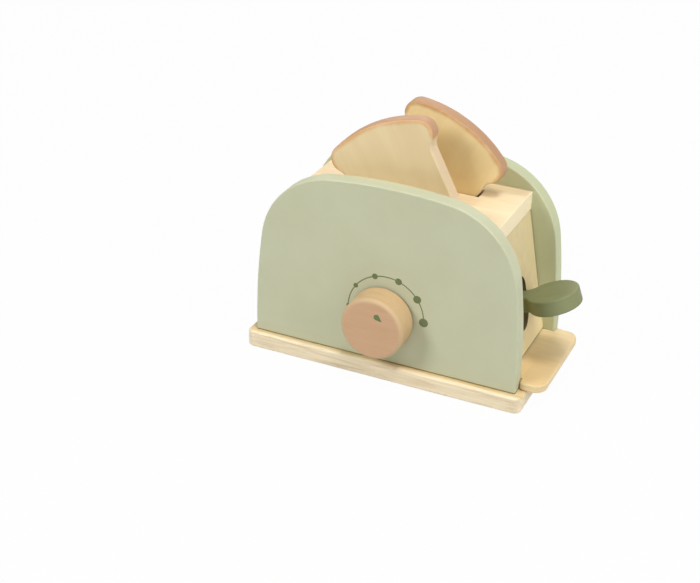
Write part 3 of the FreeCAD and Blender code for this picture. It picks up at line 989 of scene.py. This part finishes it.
def raise_print(mesh: bmesh.types.BMesh, faces: Sequence[bmesh.types.BMFace],
                thick: float) -> None:
    """Raise flat faces towards the front by the thickness of the ink.

    Args:
        mesh: The mesh that holds the faces.
        faces: Flat faces that look along Y.
        thick: Thickness of the ink.
    """
    raised = bmesh.ops.extrude_face_region(mesh, geom=list(faces))["geom"]
    verts = [item for item in raised if isinstance(item, bmesh.types.BMVert)]
    bmesh.ops.translate(mesh, verts=verts, vec=(0.0, -thick, 0.0))


@dataclass
class Casing:
    """Panels, boards, dowels and screws that stand still, and the dial printed on the front.

    Attributes:
        dial_right: How far the dial's centre lies right of the knob's axis.
        dial_up: How far it lies above it.
        dial_radius: Radius of the dial's arc.
        line_width: Width of the arc.
        line_thick: Thickness of its ink.
        arc_steps: Steps of the half turn.
        dots: Number of dots.
        first_dot: Radius of the smallest dot.
        last_dot: Radius of the largest dot.
        dot_thick: Thickness of the dots' ink, a little over the arc's.
        dot_steps: Corners of a dot.
        seam: Width of the painted shade where two boards meet.
        back_seam: Its width along the back panel.
        seam_shade: Colour of that line.
        foot_shade_share: How much of the paint it covers at the panels' feet.
        top_shade_share: How much of the wood it covers along the top board.
        end_shade_share: How much of it along the end boards.
        lever_shade_share: How much of it at the foot of the lever's board.
        end_face_light: Colour of the top board's ends.
        base_shadow: Colour of the base board beside the panels' feet.
        base_shadow_share: How much of the wood that covers.
        base_shadow_reach: How far it runs out from them.
        base_shadow_fade: Distance over which it fades.
        pale: Colour of painted bounce light at the foot of the lever's board.
        pale_fade: Height over which that fades.
        pith_inset: How far inside an end board its pith lies.
        slot_half: Half the width of the lever's slot.
        slot_low: Height of the slot's lower end.
        slot_high: Height of its upper end.
        slot_shade: Colour of the slot's wall.
    """

    dial_right: float = 2.0 * MM
    dial_up: float = 3.0 * MM
    dial_radius: float = 31.1 * MM
    line_width: float = 0.85 * MM
    line_thick: float = 0.04 * MM
    arc_steps: int = 72
    dots: int = 6
    first_dot: float = 1.5 * MM
    last_dot: float = 3.6 * MM
    dot_thick: float = 0.06 * MM
    dot_steps: int = 48
    seam: float = 0.8 * MM
    back_seam: float = 1.4 * MM
    seam_shade: Colour = linear(100, 86, 42)
    foot_shade_share: float = 0.8
    top_shade_share: float = 0.4
    end_shade_share: float = 0.7
    lever_shade_share: float = 0.6
    end_face_light: Colour = linear(255, 240, 205)
    base_shadow: Colour = linear(198, 166, 88)
    base_shadow_share: float = 0.54
    base_shadow_reach: float = 1.5 * MM
    base_shadow_fade: float = 3.0 * MM
    pale: Colour = linear(250, 231, 182)
    pale_fade: float = 40.0 * MM
    pith_inset: float = 35.0 * MM
    slot_half: float = 11.7 * MM
    slot_low: float = 39.0 * MM
    slot_high: float = 81.8 * MM
    slot_shade: Colour = linear(84, 64, 22)

    def panels(self) -> None:
        """Paint the two panels, with painted shade in the seam at their feet."""
        foot = Shade.past(Axis.Z, -1, self.base_top() + self.seam, self.seam_shade, self.foot_shade_share)
        front = MattPaint("sage_paint", linear(200, 203, 174), linear(194, 196, 166),
                          shades=(foot,))
        back = MattPaint("sage_paint_back", linear(199, 204, 169), linear(193, 198, 161),
                         shades=(foot,))
        dress(["front_panel"], front.material())
        dress(["back_panel"], back.material())

    def boards(self) -> None:
        """Finish the base board, with painted shade beside the panels' feet, and the top board, with painted
        shade in its seams and painted light on its ends.
        """
        base = BoardWood("base_wood", linear(250, 236, 206), linear(194, 166, 126), Axis.X,
                         pith=(0, -0.09, 0.16), ring=6.5 * MM, wander=12 * MM, contrast=0.16,
                         flecks=0.3, cloud=0.25, streaks=0.42, shades=self.painted_foot_shadows())
        shades = (*self.side_seams("top_board", self.top_shade_share), *self.painted_end_light("top_board"))
        pine = BoardWood("pine_across", linear(247, 228, 192), linear(219, 189, 143), Axis.X,
                         pith=(0, 0.012, 0.09), ring=3.2 * MM, contrast=0.16, shades=shades)
        dress(["base_board"], base.material())
        dress(["top_board"], pine.material())

    def end_boards(self) -> None:
        """Finish the two leaning end boards, with painted shade where they meet the panels; the lever's one
        gets painted bounce light at its foot, and painted shade where it meets the tray and on its slot's
        wall.
        """
        for node, side in (("left_end_board", -1), ("right_end_board", 1)):
            low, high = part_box(node)
            pith = ((low.x + high.x) / 2 - side * self.pith_inset, 0.01, 0.0)
            upright = BoardWood("pine_" + node, linear(222, 206, 161), linear(195, 168, 120),
                                Axis.Z, pith=pith, ring=3.0 * MM, contrast=0.14,
                                shades=self.side_seams(node, self.end_shade_share))
            if side > 0:
                # Painted bounce light from the tray, paler towards the foot, then painted shade where the
                # board meets the tray and on the slot's wall.
                soft = (MM, MM, self.pale_fade)
                pale = Shade.past(Axis.Z, -1, low.z, self.pale, soft=soft)
                foot = Shade.past(Axis.Z, -1, low.z + self.seam, self.seam_shade, self.lever_shade_share)
                upright = replace(upright, shades=(*upright.shades, pale, foot, self.lever_slot()))
            dress([node], upright.material())

    def small_parts(self) -> None:
        """Finish the dowels, sleeves, screws and washer."""
        dress(["joint_dowels", "pivot_dowel", "stop_dowel", "front_sleeve", "back_sleeve"],
              BEECH.material())
        dress(["base_screws"], ZincSteel("zinc").material())
        felt = WoolFelt("washer_felt", linear(86, 88, 70), linear(120, 120, 100))
        dress(["knob_washer"], felt.material())

    @staticmethod
    def base_top() -> float:
        """Height of the base board's top face."""
        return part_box("base_board")[1].z

    def side_seams(self, node: str, share: float) -> tuple[Shade, Shade]:
        """Painted shade in the joints where a board meets the two panels.

        Args:
            node: Name of the board's node.
            share: How much of the wood they cover.

        Returns:
            The line at its front and the line at its back.
        """
        low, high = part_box(node)
        return (Shade.past(Axis.Y, -1, low.y + self.seam, self.seam_shade, share),
                Shade.past(Axis.Y, 1, high.y - self.back_seam, self.seam_shade, share))

    def painted_end_light(self, node: str) -> tuple[Shade, Shade]:
        """Painted light that makes the two end faces of a board that runs along X paler.

        Args:
            node: Name of the board's node.

        Returns:
            The shade of its left end and that of its right end.
        """
        low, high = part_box(node)
        soft = (self.seam, MM, MM)
        return (Shade.past(Axis.X, -1, low.x, self.end_face_light, 1.0, soft),
                Shade.past(Axis.X, 1, high.x, self.end_face_light, 1.0, soft))

    def painted_foot_shadows(self) -> tuple[Shade, Shade]:
        """Painted shade on the base board's top, along the feet of the two panels.

        Returns:
            The shade at the front and the shade at the back.
        """
        top = self.base_top() - self.seam
        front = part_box("front_panel")[0].y - self.base_shadow_reach
        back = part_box("back_panel")[1].y + self.base_shadow_reach
        soft = (MM, self.base_shadow_fade, self.seam)
        return (Shade((-FAR, front, top), (FAR, 0.0, FAR), self.base_shadow, self.base_shadow_share, soft),
                Shade((-FAR, 0.0, top), (FAR, back, FAR), self.base_shadow, self.base_shadow_share, soft))

    def lever_slot(self) -> SlotShade:
        """Painted shade on the wall of the sawn slot that the lever comes out of."""
        return SlotShade(self.slot_low, self.slot_high, self.slot_half, self.slot_shade)

    def dial(self) -> None:
        """Print the dial: half a turn of line with dots that grow clockwise."""
        knob = middle("knob")
        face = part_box("front_panel")[0].y
        centre = Vector((knob.x + self.dial_right, face, knob.z + self.dial_up))
        mesh = bmesh.new()
        inner = self.dial_radius - self.line_width / 2
        outer = self.dial_radius + self.line_width / 2
        corners = [mesh.verts.new(centre + Vector((radius, y, 0.0)))
                   for radius, y in ((inner, 0.0), (outer, 0.0),
                                     (outer, -self.line_thick), (inner, -self.line_thick))]
        section = mesh.faces.new(corners)
        bmesh.ops.spin(mesh, geom=[section, *section.edges, *corners], cent=centre,
                       axis=(0.0, -1.0, 0.0), angle=math.pi, steps=self.arc_steps,
                       use_duplicate=False)
        for index in range(self.dots):
            share = index / (self.dots - 1)
            angle = math.pi * (1 - share)
            radius = self.first_dot + (self.last_dot - self.first_dot) * share
            place = centre + self.dial_radius * Vector((math.cos(angle), 0.0, math.sin(angle)))
            turn = Matrix.Translation(place) @ Matrix.Rotation(math.pi / 2, 4, "X")
            made = bmesh.ops.create_circle(mesh, cap_ends=True, segments=self.dot_steps,
                                           radius=radius, matrix=turn)
            raise_print(mesh, made["verts"][0].link_faces, self.dot_thick)
        printed("dial_print", mesh, "casing", OLIVE_INK.material())

    def build(self) -> None:
        """Dress the casing and print its dial."""
        self.panels()
        self.boards()
        self.end_boards()
        self.small_parts()
        self.dial()


@dataclass
class Knob:
    """Turning knob with its drop-shaped mark, its axle and its retaining disc.

    Attributes:
        face_inset: Distance in from the side at which the flat face's colour ends.
        rim_inset: Distance in from the side at which the rim's colour is full.
        rim_depth: Depths behind the face between which the rim's colour ends.
        back_shade_width: Width of the darker line along its back edge.
        mark_right: How far the mark lies right of the knob's axis at rest.
        mark_up: How far it lies above it.
        mark_radius: Radius of the drop's round end.
        mark_length: Length of the drop.
        mark_turn: Direction of its tip, in degrees below the right.
        mark_thick: Thickness of its ink.
        mark_pinch: Share of its width that it loses towards its tip.
        mark_steps: Corners of its outline.
    """

    face_inset: float = 3.45 * MM
    rim_inset: float = 1.8 * MM
    rim_depth: tuple[float, float] = (1.8 * MM, 4.5 * MM)
    back_shade_width: float = 0.8 * MM
    mark_right: float = 5.6 * MM
    mark_up: float = 11.0 * MM
    mark_radius: float = 2.4 * MM
    mark_length: float = 7.2 * MM
    mark_turn: float = 36.0
    mark_thick: float = 0.05 * MM
    mark_pinch: float = 0.55
    mark_steps: int = 48

    def turned_parts(self) -> None:
        """Finish the knob, its axle, its retaining disc and that disc's screw."""
        low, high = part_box("knob")
        axis = ((low.x + high.x) / 2, low.y, (low.z + high.z) / 2)
        radius = (high.x - low.x) / 2
        face = BoardWood("knob_face", linear(213, 175, 142), linear(193, 151, 110), Axis.X,
                         pith=(0, -0.05, 0.09), ring=2.4 * MM, contrast=0.07, flecks=0.3, cloud=0.5)
        side = BoardWood("knob_side", linear(204, 175, 134), linear(182, 148, 102), Axis.X,
                         pith=(0, -0.05, 0.09), ring=2.4 * MM, contrast=0.10, flecks=0.3, cloud=0.5)
        # Painted shade along the back edge, where the knob stands off the panel.
        back = Shade.past(Axis.Y, 1, high.y - self.back_shade_width, linear(135, 100, 70))
        finish = KnobWood("knob_wood", face, side, linear(204, 175, 137), axis,
                          radius - self.face_inset, radius - self.rim_inset, self.rim_depth, back)
        dress(["knob"], finish.material())
        dress(["knob_axle"], BEECH.material())
        disc = Plywood("disc_ply", Axis.Y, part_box("knob_retainer")[0].y)
        dress(["knob_retainer"], disc.material())
        dress(["retainer_screw"], ZincSteel("zinc_knob").material())

    def mark(self) -> None:
        """Print the drop-shaped mark on the knob's face."""
        knob = middle("knob")
        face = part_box("knob")[0].y
        mesh = bmesh.new()
        made = bmesh.ops.create_circle(mesh, cap_ends=True, segments=self.mark_steps,
                                       radius=self.mark_radius)
        tip = self.mark_length - self.mark_radius
        for vert in made["verts"]:
            reach = max(vert.co.x / self.mark_radius, 0.0)
            vert.co.x += (tip - self.mark_radius) * reach ** 2
            vert.co.y *= 1 - self.mark_pinch * reach ** 1.5
        shift = (self.mark_length - 2 * self.mark_radius) / 2
        bmesh.ops.translate(mesh, verts=mesh.verts, vec=(-shift, 0.0, 0.0))
        place = Vector((knob.x + self.mark_right, face, knob.z + self.mark_up))
        turn = (Matrix.Translation(place) @ Matrix.Rotation(math.radians(self.mark_turn), 4, "Y")
                @ Matrix.Rotation(math.pi / 2, 4, "X"))
        bmesh.ops.transform(mesh, matrix=turn, verts=mesh.verts)
        raise_print(mesh, list(mesh.faces), self.mark_thick)
        ink = PrintInk("leaf_ink", linear(103, 124, 78), linear(132, 142, 98))
        printed("knob_mark", mesh, "knob", ink.material())

    def build(self) -> None:
        """Dress the knob and print its mark."""
        self.turned_parts()
        self.mark()


@dataclass
class Lever:
    """Painted paddle, rocker and lift plate, with their screws.

    Attributes:
        ply: Thickness of a ply of the rocker and the lift plate.
    """

    ply: float = 1.5 * MM

    def build(self) -> None:
        """Dress the lever's nodes."""
        olive = MattPaint("olive_paint", linear(136, 142, 101), linear(129, 135, 94))
        dress(["lever_paddle"], olive.material())
        for node, stack in (("lever_rocker", Axis.Y), ("lift_plate", Axis.Z)):
            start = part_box(node)[0][stack.value]
            plies = Plywood(node + "_ply", stack, start, self.ply)
            dress([node], plies.material())
        dress(["paddle_screws", "lift_screws"], ZincSteel("zinc_lever").material())


@dataclass
class CrumbTray:
    """Pull-out board under the breads.

    Attributes:
        pith: Point on the pith of its board.
        warm: Colour of a warmer, darker tone over the front part of its top.
        warm_share: How much of the wood that covers.
        warm_side: Place across the tray up to which its wood is warmer.
        warm_fade: Distance over which that fades out.
        warm_skin: Depth of that tone under the top face.
    """

    pith: Point = (0.0, 0.02, 0.07)
    warm: Colour = linear(208, 167, 98)
    warm_share: float = 0.40
    warm_side: float = -14.0 * MM
    warm_fade: float = 22.0 * MM
    warm_skin: float = 0.3 * MM

    def build(self) -> None:
        """Dress the tray."""
        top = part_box("crumb_tray")[1].z - self.warm_skin
        warm = Shade((-FAR, -FAR, top), (FAR, self.warm_side, FAR), self.warm, self.warm_share,
                     (MM, self.warm_fade, self.warm_skin))
        wood = BoardWood("tray_wood", linear(240, 218, 175), linear(212, 180, 123), Axis.X,
                         pith=self.pith, ring=3.2 * MM, contrast=0.12, cloud=0.25, shades=(warm,))
        dress(["crumb_tray"], wood.material())


@dataclass
class BreadSlice:
    """A wooden slice of bread that leans in its slot.

    Attributes:
        node: Name of the slice's node and body.
        crown_radius: Radius of the crown's arc.
        ear_radius: Radius of the ears.
        notch_radius: Radius of the hollow under an ear.
        stem_share: Share of the height within which only the stem lies.
        pith_side: How far to one side of the slice's foot its pith lies.
        pith_back: How far behind it.
        light: Colour of the slice's wood.
        dark: Colour of its lines.
        toasted: Colour of its spray where that is thick.
        crust: Colour of its crown's edge.
        sawn: Colour of its stem's bare edge.
    """

    node: str
    crown_radius: float = 100.0 * MM
    ear_radius: float = 11.0 * MM
    notch_radius: float = 13.0 * MM
    stem_share: float = 0.4
    pith_side: float = 12.0 * MM
    pith_back: float = 60.0 * MM
    light: Colour = linear(238, 218, 176)
    dark: Colour = linear(208, 178, 127)
    toasted: Colour = linear(216, 162, 108)
    crust: Colour = linear(194, 153, 121)
    sawn: Colour = linear(217, 196, 168)

    def lean(self) -> float:
        """Angle by which the slice leans over, from the line that it lifts along."""
        joint = next(item for item in frame["joints"] if item["child"] == self.node)
        return math.atan2(joint["axis"][0], joint["axis"][2])

    def build(self) -> None:
        """Measure the slice in its own frame and dress it."""
        lean = self.lean()
        up = Vector((math.sin(lean), 0.0, math.cos(lean)))
        across = Vector((math.cos(lean), 0.0, -math.sin(lean)))
        spots = [vertex.co for vertex in frame["nodes"][self.node].data.vertices]
        heights = [spot.dot(up) for spot in spots]
        sides = [spot.dot(across) for spot in spots]
        bottom, height = min(heights), max(heights) - min(heights)
        centre = (min(sides) + max(sides)) / 2
        foot = across * centre + up * bottom + Vector((0.0, middle(self.node).y, 0.0))
        stem = max(abs(side - centre) for side, level in zip(sides, heights)
                   if level < bottom + self.stem_share * height)
        crown_centre = height - self.crown_radius
        ear_out = (max(sides) - min(sides)) / 2 - self.ear_radius
        ear_up = crown_centre + math.sqrt((self.crown_radius - self.ear_radius) ** 2 - ear_out ** 2)
        gap_out = stem + self.notch_radius - ear_out
        gap_all = self.ear_radius + self.notch_radius
        under = (gap_out / gap_all, -math.sqrt(gap_all ** 2 - gap_out ** 2) / gap_all)
        pith = foot + across * self.pith_side + Vector((0.0, self.pith_back, 0.0))
        wood = BoardWood(self.node + "_board", self.light, self.dark, Axis.Z, tuple(pith), -lean,
                         ring=4.5 * MM, contrast=0.05, cloud=0.3, streaks=0.04, fibres=0.03)
        finish = BreadWood(self.node + "_wood", wood, self.toasted, self.crust, self.sawn,
                           tuple(foot), -lean, self.crown_radius, crown_centre,
                           (ear_out, ear_up), self.ear_radius, under, stem,
                           ear_up + gap_all * under[1])
        dress([self.node], finish.material())


FRONT_SLICE = BreadSlice("front_bread")
BACK_SLICE = BreadSlice("back_bread", light=linear(243, 222, 171), dark=linear(213, 182, 122),
                        toasted=linear(194, 141, 92), crust=linear(188, 148, 114))


@dataclass(frozen=True)
class SoftLamp:
    """Square soft lamp.

    Attributes:
        name: Its name.
        at: Its place, in metres.
        size: Length of its side, in metres.
        power: Its power, in watts.
        tint: Its colour.
    """

    name: str
    at: Point
    size: float
    power: float
    tint: Colour = (1.0, 1.0, 1.0)


LAMPS = (SoftLamp("main", (0.46, -0.36, 2.0), 0.5, 16.4, (1.0, 0.985, 0.96)),
         SoftLamp("key", (-1.1, -1.5, 1.4), 0.7, 21.8),
         SoftLamp("side", (1.8, -0.4, 1.2), 1.4, 20.0),
         SoftLamp("rear", (-0.6, 2.2, 0.9), 1.6, 16.0))


@dataclass
class Studio:
    """Floor, soft lamps, world and camera.

    Attributes:
        camera_at: Place of the camera.
        camera_aim: Point in the middle of its view.
        camera_roll: Roll about its view, in degrees.
        lens: Focal length in millimetres.
        sensor: Width of the sensor in millimetres.
        sight: Nearest and farthest distance that the camera sees.
        floor_size: Length of the floor's side.
        floor_grey: Share of light that the floor throws back.
        floor_roughness: Roughness of the floor.
        floor_glow: Share of plain white in what the camera sees of the floor.
        ambient: Strength of the world's light.
        ambient_tint: Its colour.
        lamps: The soft lamps.
        lamp_aim: Point that they look at.
    """

    camera_at: Point = (0.35185, -0.88894, 0.56182)
    camera_aim: Point = (-0.04820, -0.00718, 0.03985)
    camera_roll: float = 1.29
    lens: float = 70.58
    sensor: float = 36.0
    sight: tuple[float, float] = (0.01, 50.0)
    floor_size: float = 8.0
    floor_grey: float = 0.60
    floor_roughness: float = 0.9
    floor_glow: float = 0.97
    ambient: float = 0.3
    ambient_tint: Colour = (1.0, 0.975, 0.90)
    lamps: tuple[SoftLamp, ...] = LAMPS
    lamp_aim: Point = (0.0, 0.0, 0.08)

    def floor(self) -> None:
        """White floor that keeps a faint contact shadow."""
        mesh = bmesh.new()
        bmesh.ops.create_grid(mesh, x_segments=1, y_segments=1, size=self.floor_size / 2)
        data = bpy.data.meshes.new("floor")
        mesh.to_mesh(data)
        mesh.free()
        floor = bpy.data.objects.new("floor", data)
        bpy.context.scene.collection.objects.link(floor)
        tree = Tree("floor_paper")
        tree.finish((self.floor_grey,) * 3, self.floor_roughness)
        glow = tree.add("Emission", {"Color": (1.0, 1.0, 1.0), "Strength": 1.0})
        path = tree.add("LightPath", {}).outputs
        seen = tree.calc("MAXIMUM", path["Is Camera Ray"], path["Is Glossy Ray"])
        share = tree.calc("MULTIPLY", seen, self.floor_glow)
        mix = tree.add("MixShader", {0: share, 1: tree.shader.outputs[0], 2: glow.outputs[0]})
        tree.links.new(mix.outputs[0], tree.output.inputs["Surface"])
        data.materials.append(tree.material)

    def world(self) -> None:
        """Pale ambient light, pure white to the camera."""
        world = bpy.data.worlds.new("studio")
        bpy.context.scene.world = world
        world.use_nodes = True
        nodes = world.node_tree.nodes
        links = world.node_tree.links
        nodes.clear()
        output = nodes.new("ShaderNodeOutputWorld")
        pale = nodes.new("ShaderNodeBackground")
        pale.inputs["Color"].default_value = (*self.ambient_tint, 1.0)
        pale.inputs["Strength"].default_value = self.ambient
        white = nodes.new("ShaderNodeBackground")
        white.inputs["Color"].default_value = (1.0, 1.0, 1.0, 1.0)
        path = nodes.new("ShaderNodeLightPath")
        mix = nodes.new("ShaderNodeMixShader")
        links.new(path.outputs["Is Camera Ray"], mix.inputs[0])
        links.new(pale.outputs[0], mix.inputs[1])
        links.new(white.outputs[0], mix.inputs[2])
        links.new(mix.outputs[0], output.inputs["Surface"])

    def light(self, lamp: SoftLamp) -> None:
        """Add a lamp that looks at the middle of the toaster.

        Args:
            lamp: The lamp's place, size, power and colour.
        """
        data = bpy.data.lights.new(lamp.name, "AREA")
        data.size = lamp.size
        data.energy = lamp.power
        data.color = lamp.tint
        piece = bpy.data.objects.new(lamp.name, data)
        piece.location = lamp.at
        toward = Vector(self.lamp_aim) - Vector(lamp.at)
        piece.rotation_euler = toward.to_track_quat("-Z", "Y").to_euler()
        bpy.context.scene.collection.objects.link(piece)

    def camera(self) -> None:
        """Place the camera."""
        data = bpy.data.cameras.new("camera")
        data.lens = self.lens
        data.sensor_width = self.sensor
        data.clip_start, data.clip_end = self.sight
        camera = bpy.data.objects.new("camera", data)
        camera.location = self.camera_at
        toward = Vector(self.camera_aim) - Vector(self.camera_at)
        roll = Quaternion((0, 0, 1), math.radians(self.camera_roll))
        camera.rotation_mode = "QUATERNION"
        camera.rotation_quaternion = toward.to_track_quat("-Z", "Y") @ roll
        bpy.context.scene.collection.objects.link(camera)
        bpy.context.scene.camera = camera

    def build(self) -> None:
        """Set up the whole studio."""
        bpy.context.scene.view_settings.view_transform = "Standard"
        self.floor()
        self.world()
        for lamp in self.lamps:
            self.light(lamp)
        self.camera()


def main() -> None:
    """Build every sub-assembly in order, then the studio."""
    for piece in (Casing(), Knob(), Lever(), CrumbTray(), FRONT_SLICE, BACK_SLICE, Studio()):
        piece.build()
        LOG.info("built %s", piece)


if __name__ == "__main__":
    logging.basicConfig(level=logging.INFO, format="%(message)s")
    main()
